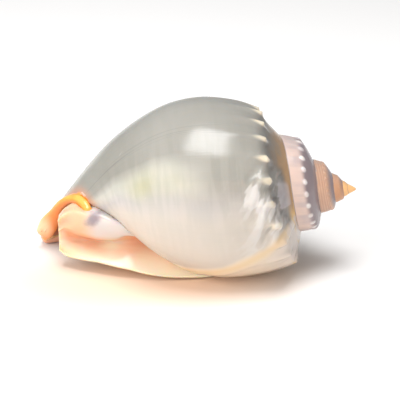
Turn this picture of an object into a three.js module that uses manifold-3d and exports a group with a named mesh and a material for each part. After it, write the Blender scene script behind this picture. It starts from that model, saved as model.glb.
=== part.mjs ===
// Grey bonnet shell, lying on its aperture. Millimetres, +Z up.
//
// One grown piece: a pointed spire, a large rounded body whorl with a beaded shoulder, a short canal
// turned up at the front end, a raised inner lip, and a thick rolled outer lip over a hollow mouth.
//
// +X runs along the coiling axis towards the apex. The near side, -Y, shows the inner lip's edge and
// the far side, +Y, carries the outer lip. The outer lip and the belly touch the ground, and the
// origin is on the ground under the middle of the shell.

import * as THREE from "three";
import { LoftGeometry } from "three/addons/geometries/LoftGeometry.js";
import { mergeVertices } from "three/addons/utils/BufferGeometryUtils.js";
import Module from "manifold-3d";

const wasm = await Module();
wasm.setup();

// Driving dimensions
const APEX_X = 48.2; // apex, before the shell is centred
const AXIS_Y = -3.4; // coiling axis, before the shell is centred
const AXIS_Z = 24.9; // coiling axis above the ground
const TURN_LENGTH = 1.74; // growth along the axis in one turn of the spire
const TURN_RADIUS = 1.81; // growth away from the axis in one turn of the spire
const SPIRE_TURNS = 4; // turns above the penultimate whorl
const SHOULDER_END = 4; // the first profile point in front of the shoulder
const SHOULDER_FADE = 0.25; // how fast the shoulder flattens towards the apex
const LIP_ANGLE = 308; // where growth stopped, in degrees round the axis
const WALL = 2.0;
const COLUMELLA_R = 4.5; // the pillar that the hollow winds round
const PILLAR_LENGTH = 12; // length of its tapered front end
const PILLAR_CORE = 0.3; // the hollow's inner limit in front of the pillar
const HOLLOW_START = 0.03; // the hollow's ends, as places along the profile
const HOLLOW_END = 0.97;
const THINNEST_WALL = 0.35; // share of the wall that stays however small the whorl is
const NODULES_PER_TURN = 23;
const NODULE_HEIGHT = 0.8;
const NODULE_LEAN = 0.4; // how far a nodule leans towards the apex, as a share of its height
const NODULE_PHASE = 5.4; // growth angle of a nodule
const BEND_START = 52; // distance from the apex where the front end starts to turn down
const BEND_LENGTH = 38; // distance over which the bend grows to its full amount
const BEND_DOWN = 12;
const BEND_FAR = 3;
const LIP_THICKNESS = 4.6;
const SPINES_ALONG = [0.74, 0.82, 0.9]; // places of the short spines along the outer lip
const SPINE_LENGTH = 4.6;
const SPINE_R = 1.5;
const APEX_SIDES = 10;
const APEX_CORE = 0.05; // radius of the tip's flat end
const GROUND_SIZE = 200;
const GROUND_DEPTH = 20;

// How finely the coil is made
const ANGLES_PER_NODULE = 3;
const PIECE_ANGLES = 24; // angle steps in one piece of the coil, which is less than a turn
const COIL_PIECES = 15;
const FINE_PIECES = 4; // pieces from the lip back with every angle step
const HOLLOW_PIECES = 2; // pieces from the lip back that are hollow
const HOLLOW_STRIDE = 4; // angle steps from one section of the hollow to the next
const PROFILE_STEPS = 14;
const HOLLOW_STEPS = 8;
const BAR_SIDES = 8;
const BAR_ENDS = [0, 0.3, 1]; // places of the sections in a bar's rounded end
const NOTCH_STEPS = 15;
const LIP_STEPS = 19;
const INNER_LIP_STEPS = 28;
const SPINE_SIDES = 6;

// Whorl profiles: [distance from the apex, radius] pairs from the suture over the shoulder to the front
// end, at a growth angle in degrees. 0 points down and 90 towards -Y.
const PROFILES = [
  [-338, [[10.2, 6.3], [10.6, 8.6], [11.3, 11], [13.6, 12.1], [16.6, 12.6], [20, 13.2], [24, 13.2],
    [28, 12.6], [32, 11.2], [35, 9.2], [38, 6.8], [40, 4.2], [42, 0.5]]],
  [-248, [[12, 7.6], [13.4, 10.2], [15.4, 12.7], [17.2, 13.8], [20, 14.3], [23.1, 14.7], [27.4, 14.6],
    [31.8, 13.2], [36.1, 11.1], [39.6, 8.7], [42.6, 6.2], [44.9, 4], [46.7, 0.5]]],
  [-158, [[13.1, 8.8], [14.5, 11.6], [16.5, 14.5], [19.5, 15.8], [23.2, 16.4], [27, 16.8], [32, 16.4],
    [37, 15], [42, 12.8], [46, 10], [49, 7], [51.5, 4], [53, 0.5]]],
  [22, [[16.5, 12.4], [17.4, 16.4], [18.8, 20.7], [24, 23.7], [32, 25.5], [40, 25.9], [48, 24.3],
    [54.5, 21.7], [59, 18.7], [63.8, 13.9], [67.5, 9.2], [70.5, 5.2], [73, 0.5]]],
  [112, [[20.4, 14.4], [23.4, 18.6], [27.2, 23.6], [31.6, 25.4], [38.2, 26.8], [45, 27], [53, 25.6],
    [60, 22.8], [66, 19], [71, 14.4], [75, 9.8], [78.5, 5.4], [81, 0.5]]],
  [202, [[23.2, 16.3], [26.3, 19.4], [30.3, 23.5], [35, 26.2], [41, 27.5], [47.5, 27.7], [55, 26.3],
    [62, 23.8], [69, 20.4], [75, 16.8], [80.5, 12.2], [86, 7], [90, 0.5]]],
  [255, [[25.5, 18.3], [29, 22], [33, 26.8], [38.5, 29.3], [45, 31], [52, 31.2], [60, 29.8],
    [67, 27.2], [74, 23.6], [80, 19.2], [86, 14], [91, 8.6], [94.5, 2]]],
  [308, [[27.5, 20.5], [30.5, 24.5], [34.5, 30.5], [40, 34.5], [47, 37.5], [54.5, 38.3], [62, 37],
    [69, 34], [75.5, 30.2], [82, 25.4], [89, 19.4], [95, 13.6], [98.4, 9]]],
];

// The near face of the front end at stations along X, as [y, z] pairs: the top, crest and lower side of
// the rib that winds down to the canal, the hollow under it, and the inner lip's free edge.
const INNER_LIP = [
  [-41.3, [-5, 16], [-5.4, 13.6], [-5.2, 11.5], [-4.8, 9.2], [-5.2, 6]],
  [-39.2, [-5.2, 18.6], [-7, 15.6], [-6, 12.7], [-4.6, 10], [-6, 4.6]],
  [-36, [-5.5, 20.4], [-9.2, 16.9], [-7, 11.9], [-4.6, 9.4], [-8, 4.6]],
  [-32.5, [-6.3, 20], [-10.8, 16.6], [-7.6, 10.9], [-4.8, 8.8], [-9.6, 4.6]],
  [-29, [-7.4, 20.5], [-12, 16.4], [-8.2, 10.3], [-5.2, 8.4], [-10.9, 4.6]],
  [-24, [-8.8, 19], [-13.1, 15.8], [-9.2, 10.7], [-6.4, 8.8], [-12.6, 4]],
  [-19.5, [-9.8, 16.6], [-13.2, 14.8], [-10.8, 13], [-7.6, 9.6], [-13.6, 3.4]],
  [-14, [-8, 13.6], [-9.8, 12.2], [-9.4, 10.8], [-7.4, 9.4], [-14.5, 2.3]],
  [-7, [-8.5, 10.6], [-9.6, 9.4], [-9.8, 8.4], [-9.8, 7], [-14.8, 1.5]],
  [1, [-9, 7.5], [-10, 6.4], [-10.4, 5.2], [-11, 4], [-14, 1.1]],
  [6, [-9, 5.5], [-9.6, 4.4], [-10, 3.4], [-10.6, 2.6], [-12.6, 1]],
  [9.5, [-8, 4], [-8.6, 3.2], [-9, 2.6], [-9.4, 2.1], [-10.4, 1.2]],
];
const INNER_LIP_EDGE = 1.6; // thickness of the free edge
const INNER_LIP_BACK = -1.2; // how far in the lip's body reaches
const BACK_BULGE = 1; // how much further in it reaches at the top
const BACK_RISE = 0.5; // height of its back's lower side over the free edge
const RIB_ROOT = [2, 0.3]; // how far the rib's root lies in from and above its top
const EDGE_ROUND = [0.3, 0.5]; // how far the free edge curves back and stands out
const RIB_SHOULDER = [1.8, 1.3]; // how far the rib bulges out and up between its top and its crest
const RIB_BELLY = [0.5, 0.3]; // how far it bulges out and down between its crest and its lower side
const SHELF_RISE = [0.4, 0.5]; // how far the shelf is drawn in and up before its free edge

// The notch's flared rim, from its inner end over the far wall to the tip: [x, y, z, width, thickness].
const NOTCH_RIM = [[-31.4, -8.2, 18.5, 2.2, 2.6], [-32.2, -7.4, 19.6, 2.3, 2.8], [-33.5, -5.4, 21, 2.4, 3],
  [-35.7, -3, 21.5, 2.4, 3], [-38.2, -0.6, 20.3, 2.6, 3], [-41, 2.4, 17.2, 3.1, 3],
  [-43, 5, 13.2, 4.2, 2.8], [-45.6, 7.8, 8.4, 5.8, 2.4], [-47.8, 10.2, 3.4, 5, 2]];
const NOTCH_UP = [-0.5, -0.2, 1]; // the way its width points
const BAR_END = 1.8; // length over which a bar's ends are rounded
const BAR_TIP = 0.02; // area left at the very end, as a share of the bar's

// The outer lip's rim, from the suture round to the tip.
const LIP_RIM = [[20, 12.5, 12], [17.5, 18.5, 7.4], [12, 23.8, 3.6], [2, 27.4, 2.3], [-10, 27.4, 2.1],
  [-22, 24.4, 2.1], [-33, 19.4, 2.1], [-41, 15.2, 2.2], [-48.6, 12, 2.4]];

// The first shell's outline: [distance from the apex, radius].
const APEX = [[0, APEX_CORE], [0.1, 0.25], [0.4, 0.5], [1, 0.85], [2, 1.35], [3.2, 1.92], [4.3, 2.3],
  [5, 1.6], [5.2, APEX_CORE]];

// The canal's open slot at stations along X: [x, near side low, near side high, far side at the ground,
// far side under the rim, height of the rim, top]. Its near side steps between CANAL_STEP's
// shares of the top, and its far side leans from CANAL_LOW above the ground up to the rim.
const CANAL = [
  [-60, -4, -5, 17, 12, 4, 34], [-47, -3.2, -3.8, 10.6, 7.6, 6, 30], [-41, -2.8, -3.4, 10, 2.6, 15, 28],
  [-36, -2.6, -3.6, 9, -2.2, 19.5, 26], [-33, -2.6, -4.8, 7.5, -4.2, 19, 22],
  [-30, -2.6, -3.6, 7, -2.6, 15, 16], [-25, -2, -2, 6, 1, 10, 11],
];
const CANAL_STEP = [0.55, 0.7];
const CANAL_FLOOR = -6;
const CANAL_LOW = 3;

const radians = THREE.MathUtils.degToRad;
const point = (p) => new THREE.Vector3(...p);

function solid(geometry) {
  const bare = new THREE.BufferGeometry();
  bare.setAttribute("position", geometry.attributes.position);
  bare.setIndex(geometry.index);
  const merged = mergeVertices(bare, 1e-4);
  return new wasm.Manifold(
    new wasm.Mesh({
      numProp: 3,
      vertProperties: merged.attributes.position.array,
      triVerts: new Uint32Array(merged.index.array),
    }),
  );
}

const loft = (sections) => solid(new LoftGeometry(sections, { capStart: true, capEnd: true }));

function geometryOf(made) {
  const { numVert, numProp, vertProperties, triVerts } = made.getMesh();
  const positions = new Float32Array(numVert * 3);
  for (let i = 0; i < numVert; i++) {
    positions.set(vertProperties.subarray(i * numProp, i * numProp + 3), i * 3);
  }
  const geometry = new THREE.BufferGeometry();
  geometry.setAttribute("position", new THREE.BufferAttribute(positions, 3));
  geometry.setIndex(new THREE.BufferAttribute(triVerts, 1));
  return geometry;
}

// A profile as it was some turns before: smaller, and with a lower shoulder.
function older(profile, turn) {
  const line = profile.map(([d, r]) => [d / TURN_LENGTH ** turn, r / TURN_RADIUS ** turn]);
  const [suture, front] = [line[0], line[SHOULDER_END]];
  const slope = (front[1] - suture[1]) / (front[0] - suture[0]);
  const kept = 1 / (1 + SHOULDER_FADE * turn ** 2);
  return line.map(([d, r], i) => {
    const straight = suture[1] + (d - suture[0]) * slope;
    return i < SHOULDER_END ? [d, straight + kept * (r - straight)] : [d, r];
  });
}

// Every profile, oldest first, with the penultimate whorl's repeated at each earlier turn.
const PENULTIMATE = PROFILES.slice(0, 3);
const keys = [];
for (let turn = SPIRE_TURNS; turn > 0; turn--) {
  for (const [angle, profile] of PENULTIMATE) keys.push([angle - 360 * turn, older(profile, turn)]);
}
keys.push(...PROFILES);

// A smooth value at an angle between the values at the keys' angles.
function between(angle, valueOf) {
  let i = 0;
  while (i < keys.length - 2 && keys[i + 1][0] <= angle) i++;
  const key = (k) => keys[THREE.MathUtils.clamp(k, 0, keys.length - 1)];
  const slope = (k) => (valueOf(key(k + 1)) - valueOf(key(k - 1))) / (key(k + 1)[0] - key(k - 1)[0]);
  const span = key(i + 1)[0] - key(i)[0];
  const t = (angle - key(i)[0]) / span;
  const rise = t * t * (3 - 2 * t);
  return (
    valueOf(key(i)) * (1 - rise) +
    valueOf(key(i + 1)) * rise +
    span * (slope(i) * t * (1 - t) ** 2 - slope(i + 1) * t * t * (1 - t))
  );
}

const profileAt = (angle) =>
  PROFILES[0][1].map((_, n) => new THREE.Vector2(
    between(angle, ([, profile]) => profile[n][0]),
    between(angle, ([, profile]) => profile[n][1]),
  ));

const SHOULDER = 2; // the profile point that carries the nodules
const size = (angle) => profileAt(angle)[SHOULDER].y / PROFILES.at(-1)[1][SHOULDER][1];

// A profile point in space, before the front end is bent.
const place = (angle, p) => new THREE.Vector3(
  APEX_X - p.x,
  AXIS_Y - p.y * Math.sin(radians(angle)),
  AXIS_Z - p.y * Math.cos(radians(angle)),
);

function bend(p) {
  const amount = Math.max(0, (APEX_X - p.x - BEND_START) / BEND_LENGTH) ** 2;
  p.y += BEND_FAR * amount;
  p.z -= BEND_DOWN * amount;
  return p;
}

// The section of the whorl's outside at an angle, closed along the axis.
function outerSection(angle) {
  const control = profileAt(angle);
  const wave = Math.cos(radians((angle - NODULE_PHASE) * NODULES_PER_TURN));
  const bump = Math.max(0, wave) * NODULE_HEIGHT * size(angle);
  control[SHOULDER].y += bump;
  control[SHOULDER].x -= bump * NODULE_LEAN;
  const line = new THREE.SplineCurve(control).getPoints(PROFILE_STEPS).reverse();
  line.push(new THREE.Vector2(line.at(-1).x, 0), new THREE.Vector2(line[0].x, 0));
  return line.map((p) => place(angle, p));
}

// The section of the hollow inside the whorl, a wall's thickness in, round the columella.
function hollowSection(angle) {
  const wall = WALL * Math.min(1, THINNEST_WALL + size(angle));
  const curve = new THREE.SplineCurve(profileAt(angle));
  const line = [];
  for (let i = HOLLOW_STEPS; i >= 0; i--) {
    const u = THREE.MathUtils.lerp(HOLLOW_START, HOLLOW_END, i / HOLLOW_STEPS);
    const p = curve.getPoint(u);
    const along = curve.getTangent(u);
    const r = Math.max(p.y - along.x * wall, COLUMELLA_R + PILLAR_CORE);
    line.push(new THREE.Vector2(p.x + along.y * wall, r));
  }
  const front = line[0].x;
  line.push(new THREE.Vector2(line.at(-1).x, COLUMELLA_R));
  line.push(new THREE.Vector2(front - PILLAR_LENGTH, COLUMELLA_R));
  line.push(new THREE.Vector2(front - PILLAR_LENGTH / 2, PILLAR_CORE));
  line.push(new THREE.Vector2(front, PILLAR_CORE));
  return line.map((p) => place(angle, p));
}

function coil(sectionAt, from, to, step) {
  const steps = Math.round((to - from) / step);
  return loft(Array.from({ length: steps + 1 }, (_, i) => sectionAt(from + ((to - from) * i) / steps)));
}

// The coil, joined in pieces of less than a turn from the lip back to the apex.
function coiledWhorls() {
  const fineStep = 360 / NODULES_PER_TURN / ANGLES_PER_NODULE;
  const pieceAngle = PIECE_ANGLES * fineStep;
  const hollowStep = HOLLOW_STRIDE * fineStep;
  let whorls = null;
  for (let i = 0; i < COIL_PIECES; i++) {
    const to = LIP_ANGLE - i * pieceAngle;
    const from = to - pieceAngle;
    const step = i < FINE_PIECES ? fineStep : 2 * fineStep;
    const outer = coil(outerSection, from, i === 0 ? to : to + step, step);
    whorls = whorls ? whorls.add(outer) : outer;
    if (i < HOLLOW_PIECES) {
      whorls = whorls.subtract(coil(hollowSection, from, to + hollowStep, hollowStep));
    }
  }
  const straight = geometryOf(whorls);
  const at = straight.attributes.position;
  for (let i = 0; i < at.count; i++) {
    at.setXYZ(i, ...bend(new THREE.Vector3().fromBufferAttribute(at, i)));
  }
  return solid(straight);
}

// A bar of oval section along a smooth path of [x, y, z, width, thickness], rounded off at both ends.
function bar(path, up, steps) {
  const curve = new THREE.CatmullRomCurve3(path.map(([x, y, z]) => new THREE.Vector3(x, y, z)));
  const sizes = new THREE.CatmullRomCurve3(path.map(([, , , w, t]) => new THREE.Vector3(w, t, 0)));
  const length = curve.getLength();
  const end = BAR_END / length;
  const middle = Array.from({ length: steps - 1 }, (_, i) => end + ((1 - 2 * end) * (i + 1)) / steps);
  const first = BAR_ENDS.map((s) => s * end);
  const last = BAR_ENDS.map((s) => 1 - s * end).reverse();
  return loft([...first, ...middle, ...last].map((u) => {
    const ahead = curve.getTangentAt(u);
    const wide = point(up).projectOnPlane(ahead).normalize();
    const thin = ahead.clone().cross(wide);
    const toEnd = Math.min(1, Math.min(u, 1 - u) / end);
    const full = Math.sqrt(Math.max(BAR_TIP, 1 - (1 - toEnd) ** 2));
    const size = sizes.getPoint(curve.getUtoTmapping(u)).multiplyScalar(full / 2);
    return Array.from({ length: BAR_SIDES }, (_, k) => {
      const turn = (2 * Math.PI * k) / BAR_SIDES;
      return curve.getPointAt(u)
        .addScaledVector(wide, size.x * Math.cos(turn))
        .addScaledVector(thin, size.y * Math.sin(turn));
    });
  }));
}

// Sections between stations, each point on a smooth line through its own places at the stations.
function smoothSections(stations, steps) {
  const lines = stations[0].map((_, k) =>
    new THREE.CatmullRomCurve3(stations.map((station) => point(station[k])), false, "catmullrom"));
  return Array.from({ length: steps + 1 }, (_, i) => lines.map((line) => line.getPoint(i / steps)));
}

const halfway = (a, b, y, z) => [(a[0] + b[0]) / 2 + y, (a[1] + b[1]) / 2 + z];

function innerLip() {
  const stations = INNER_LIP.map(([x, ribTop, ribCrest, ribLow, hollow, edge]) => [
    [x, INNER_LIP_BACK, edge[1] + BACK_RISE],
    [x, INNER_LIP_BACK - BACK_BULGE, ribTop[1] - BACK_BULGE],
    [x, ribTop[0] + RIB_ROOT[0], ribTop[1] + RIB_ROOT[1]],
    [x, ...ribTop],
    [x, ...halfway(ribTop, ribCrest, -RIB_SHOULDER[0], RIB_SHOULDER[1])],
    [x, ...ribCrest],
    [x, ...halfway(ribCrest, ribLow, -RIB_BELLY[0], -RIB_BELLY[1])],
    [x, ...ribLow],
    [x, ...hollow],
    [x, ...halfway(hollow, edge, ...SHELF_RISE)],
    [x, edge[0] + EDGE_ROUND[0], edge[1] + INNER_LIP_EDGE / 2],
    [x, edge[0] - EDGE_ROUND[1], edge[1]],
    [x, edge[0] + EDGE_ROUND[0], edge[1] - INNER_LIP_EDGE / 2],
  ]);
  return loft(smoothSections(stations, INNER_LIP_STEPS));
}

function canal() {
  const stations = CANAL.map(([x, nearLow, nearTop, farLow, farTop, rim, top]) => [
    [x, nearLow, CANAL_FLOOR],
    [x, farLow, CANAL_FLOOR],
    [x, farLow, CANAL_LOW],
    [x, farTop, rim],
    [x, farTop, top],
    [x, nearTop, top],
    [x, nearTop, CANAL_STEP[1] * top],
    [x, nearLow, CANAL_STEP[0] * top],
  ]);
  return loft(stations.map((station) => station.map(point)));
}

// The smooth first shell that closes the coil.
function apex() {
  return loft(APEX.map(([d, r]) =>
    Array.from({ length: APEX_SIDES }, (_, k) => place((360 * k) / APEX_SIDES, new THREE.Vector2(d, r)))));
}

// A short spine that points outwards from the front part of the outer lip.
function spine(along) {
  const rim = new THREE.CatmullRomCurve3(LIP_RIM.map(point));
  const outwards = rim.getTangentAt(along).cross(new THREE.Vector3(0, 0, 1));
  const cone = new THREE.ConeGeometry(SPINE_R, SPINE_LENGTH, SPINE_SIDES);
  cone.translate(0, SPINE_LENGTH / 2, 0);
  cone.applyQuaternion(new THREE.Quaternion().setFromUnitVectors(new THREE.Vector3(0, 1, 0), outwards));
  cone.translate(...rim.getPointAt(along));
  return solid(cone);
}

function groundCut() {
  const box = new THREE.BoxGeometry(GROUND_SIZE, GROUND_SIZE, GROUND_DEPTH);
  box.translate(0, 0, -GROUND_DEPTH / 2);
  return solid(box);
}

let grown = coiledWhorls()
  .add(apex())
  .add(innerLip())
  .subtract(canal())
  .add(bar(NOTCH_RIM, NOTCH_UP, NOTCH_STEPS))
  .add(bar(LIP_RIM.map((p) => [...p, LIP_THICKNESS, LIP_THICKNESS]), [0, 0, 1], LIP_STEPS));
for (const along of SPINES_ALONG) grown = grown.add(spine(along));

const shell = new THREE.Mesh(
  geometryOf(grown.subtract(groundCut())),
  new THREE.MeshStandardMaterial({ color: 0xcfccc4, roughness: 0.25, metalness: 0 }),
);
shell.name = "shell";
shell.geometry.computeVertexNormals();
shell.geometry.computeBoundingBox();
const middle = shell.geometry.boundingBox.getCenter(new THREE.Vector3());
shell.geometry.translate(-middle.x, -middle.y, 0);

const part = new THREE.Group();
part.add(shell);

export default part;
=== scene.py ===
import math

import bmesh
import bpy
import numpy as np
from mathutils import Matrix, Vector


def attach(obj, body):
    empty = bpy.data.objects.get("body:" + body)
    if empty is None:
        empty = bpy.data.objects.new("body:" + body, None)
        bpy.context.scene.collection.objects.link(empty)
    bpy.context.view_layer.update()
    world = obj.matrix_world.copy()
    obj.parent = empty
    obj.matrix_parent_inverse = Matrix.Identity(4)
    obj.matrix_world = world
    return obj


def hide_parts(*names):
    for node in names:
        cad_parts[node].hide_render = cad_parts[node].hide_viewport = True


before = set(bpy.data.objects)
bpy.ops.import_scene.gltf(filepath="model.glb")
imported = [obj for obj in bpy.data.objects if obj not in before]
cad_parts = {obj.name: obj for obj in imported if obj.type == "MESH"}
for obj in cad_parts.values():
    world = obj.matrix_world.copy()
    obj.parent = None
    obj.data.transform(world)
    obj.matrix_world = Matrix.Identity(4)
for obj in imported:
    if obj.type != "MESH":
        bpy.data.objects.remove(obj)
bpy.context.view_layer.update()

# The coiled whorls
# The shell is one coil of glossy carbonate, 98 mm long, that widens as it winds forward from the apex.
# The profiles make an unrolled chart of growth angle against outline. The sculpture is added to the chart,
# which is then rolled up, piece by piece. All sizes up to the shell's last section are in millimetres.

APEX_X = 48.2  # apex, before the shell is centred
AXIS_Y = -3.4  # coiling axis, before the shell is centred
AXIS_Z = 24.9  # coiling axis above the ground
TURN_LENGTH = 1.74  # growth along the axis in one turn of the spire
TURN_RADIUS = 1.81  # growth away from the axis in one turn of the spire
SPIRE_TURNS = 4  # turns above the penultimate whorl
SHOULDER_END = 4  # the first profile point in front of the shoulder
SHOULDER_FADE = 0.25  # how fast the shoulder flattens towards the apex
LIP_ANGLE = 308  # where growth stopped, in degrees round the axis

# Growth angle in degrees, where 0 is down and 90 is the near side, and then the profile from the suture to
# the front end, as distances from the apex and radii
PROFILES = [
    (-338, [(10.2, 6.3), (10.6, 8.6), (11.3, 11), (13.6, 12.1), (16.6, 12.6), (20, 13.2), (24, 13.2),
            (28, 12.6), (32, 11.2), (35, 9.2), (38, 6.8), (40, 4.2), (42, 0.5)]),
    (-248, [(12, 7.6), (13.4, 10.2), (15.4, 12.7), (17.2, 13.8), (20, 14.3), (23.1, 14.7), (27.4, 14.6),
            (31.8, 13.2), (36.1, 11.1), (39.6, 8.7), (42.6, 6.2), (44.9, 4), (46.7, 0.5)]),
    (-158, [(13.1, 8.8), (14.5, 11.6), (16.5, 14.5), (19.5, 15.8), (23.2, 16.4), (27, 16.8), (32, 16.4),
            (37, 15), (42, 12.8), (46, 10), (49, 7), (51.5, 4), (53, 0.5)]),
    (22, [(16.5, 12.4), (17.4, 16.4), (18.8, 20.7), (24, 23.7), (32, 25.5), (40, 25.9), (48, 24.3),
          (54.5, 21.7), (59, 18.7), (63.8, 13.9), (67.5, 9.2), (70.5, 5.2), (73, 0.5)]),
    (112, [(20.4, 14.4), (23.4, 18.6), (27.2, 23.6), (31.6, 25.4), (38.2, 26.8), (45, 27), (53, 25.6),
           (60, 22.8), (66, 19), (71, 14.4), (75, 9.8), (78.5, 5.4), (81, 0.5)]),
    (202, [(23.2, 16.3), (26.3, 19.4), (30.3, 23.5), (35, 26.2), (41, 27.5), (47.5, 27.7), (55, 26.3),
           (62, 23.8), (69, 20.4), (75, 16.8), (80.5, 12.2), (86, 7), (90, 0.5)]),
    (255, [(25.5, 18.3), (29, 22), (33, 26.8), (38.5, 29.3), (45, 31), (52, 31.2), (60, 29.8),
           (67, 27.2), (74, 23.6), (80, 19.2), (86, 14), (91, 8.6), (94.5, 2)]),
    (308, [(27.5, 20.5), (30.5, 24.5), (34.5, 30.5), (40, 34.5), (47, 37.5), (54.5, 38.3), (62, 37),
           (69, 34), (75.5, 30.2), (82, 25.4), (89, 19.4), (95, 13.6), (98.4, 9)]),
]
PENULTIMATE = PROFILES[:3]
SHOULDER_POINT = 2  # the profile point that carries the nodules


def older(profile, turn):
    """A profile as it was some turns before: smaller, and with a lower shoulder."""
    line = np.array(profile) / (TURN_LENGTH**turn, TURN_RADIUS**turn)
    suture, front = line[0], line[SHOULDER_END]
    straight = suture[1] + (line[:, 0] - suture[0]) * (front[1] - suture[1]) / (front[0] - suture[0])
    kept = 1 / (1 + SHOULDER_FADE * turn**2)
    line[:SHOULDER_END, 1] = (straight + kept * (line[:, 1] - straight))[:SHOULDER_END]
    return line


# Every profile, oldest first, with the penultimate whorl's repeated at each earlier turn
keys = []
for turn in range(SPIRE_TURNS, 0, -1):
    for angle, profile in PENULTIMATE:
        keys.append((angle - 360 * turn, older(profile, turn)))
keys += PROFILES
key_angles = np.array([angle for angle, profile in keys], float)
key_profiles = np.array([profile for angle, profile in keys], float)
last_key = len(keys) - 1


def key_slope(k):
    """How fast the profile changes with the growth angle at a key profile."""
    before = max(k - 1, 0)
    after = min(k + 1, last_key)
    return (key_profiles[after] - key_profiles[before]) / (key_angles[after] - key_angles[before])


def profile_at(angle):
    """The profile's control points at a growth angle, between the key profiles."""
    i = int(np.clip(np.searchsorted(key_angles, angle, side="right") - 1, 0, last_key - 1))
    span = key_angles[i + 1] - key_angles[i]
    t = (angle - key_angles[i]) / span
    rise = t * t * (3 - 2 * t)
    ends = key_profiles[i] * (1 - rise) + key_profiles[i + 1] * rise
    return ends + span * (key_slope(i) * t * (1 - t) ** 2 - key_slope(i + 1) * t * t * (1 - t))


def size_at(angle):
    """How large the shell was at a growth angle, as a share of its size at the lip."""
    return profile_at(angle)[SHOULDER_POINT][1] / PROFILES[-1][1][SHOULDER_POINT][1]


def spline(points, places):
    """Points on a smooth line through the given ones, at places from 0 to 1."""
    points = np.asarray(points, float)
    last = len(points) - 1
    at = np.clip(np.asarray(places, float), 0, 1) * last
    i = np.minimum(at.astype(int), last - 1)
    t = (at - i)[:, None]
    p0 = points[np.maximum(i - 1, 0)]
    p1 = points[i]
    p2 = points[i + 1]
    p3 = points[np.minimum(i + 2, last)]
    v0 = (p2 - p0) / 2
    v1 = (p3 - p1) / 2
    return (2 * p1 - 2 * p2 + v0 + v1) * t**3 + (-3 * p1 + 3 * p2 - 2 * v0 - v1) * t**2 + v0 * t + p1


def loft_faces(rows, columns):
    """Quads of a closed tube of rows of points, with a cap on each end."""
    faces = []
    for i in range(rows - 1):
        for j in range(columns):
            k = (j + 1) % columns
            faces.append((i * columns + j, i * columns + k, (i + 1) * columns + k, (i + 1) * columns + j))
    faces.append(tuple(range(columns - 1, -1, -1)))
    faces.append(tuple((rows - 1) * columns + j for j in range(columns)))
    return faces


def mesh_object(name, points, faces):
    mesh = bpy.data.meshes.new(name)
    mesh.from_pydata([tuple(p) for p in np.asarray(points, float)], [], faces)
    made = bpy.data.objects.new(name, mesh)
    bpy.context.scene.collection.objects.link(made)
    return made


def keep_values(made, name, values):
    """Stores a value for each point of an object under a name."""
    layer = made.data.attributes.new(name, "FLOAT", "POINT")
    layer.data.foreach_set("value", np.ascontiguousarray(values, np.float32))


def outwards(made):
    """Turns the faces of a closed body outwards and splits its caps into triangles."""
    work = bmesh.new()
    work.from_mesh(made.data)
    bmesh.ops.triangulate(work, faces=[f for f in work.faces if len(f.verts) > 4])
    bmesh.ops.recalc_face_normals(work, faces=work.faces)
    work.to_mesh(made.data)
    work.free()


def settle(made):
    """Replaces an object's mesh and its modifiers by the finished mesh."""
    graph = bpy.context.evaluated_depsgraph_get()
    finished = bpy.data.meshes.new_from_object(made.evaluated_get(graph))
    made.modifiers.clear()
    old = made.data
    made.data = finished
    bpy.data.meshes.remove(old)


def cut_or_join(made, other, operation):
    """Joins another body to this one or cuts it away, and removes the other."""
    work = made.modifiers.new("join", "BOOLEAN")
    work.object = other
    work.operation = operation
    work.solver = "MANIFOLD"
    settle(made)
    bpy.data.objects.remove(other)


TUCK = 0.96  # size of a tucked end, which lies inside the piece that it is joined to


def chart(name, angles, places, tucked):
    """A closed piece of the unrolled coil: growth angle, distance from the apex, and radius.

    Each point keeps its growth angle, its place across the whorl from 0 at the suture to 1 at the front end,
    the shell's size there, the way outwards, and whether it lies on the skin."""
    points = []
    marks = []
    for angle in angles:
        line = spline(profile_at(angle), places)[::-1]
        ahead = np.gradient(line, axis=0)
        ahead /= np.linalg.norm(ahead, axis=1)[:, None]
        size = size_at(angle)
        if tucked and angle == angles[-1]:
            middle = (line.mean(axis=0)[0], 0)
            line = middle + TUCK * (line - middle)
        for (d, r), (along_d, along_r), place in zip(line, ahead, places[::-1]):
            points.append((math.radians(angle), d, r))
            marks.append((angle, place, size, along_r, -along_d, 1))
        for d in (line[-1][0], line[0][0]):
            points.append((math.radians(angle), d, 0))
            marks.append((angle, 0, size, 0, 0, 0))
    made = mesh_object(name, points, loft_faces(len(angles), len(places) + 2))
    marks = np.array(marks)
    for i, mark in enumerate(("growth", "across", "size", "lean", "rise", "skin")):
        keep_values(made, mark, marks[:, i])
    return made


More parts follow.
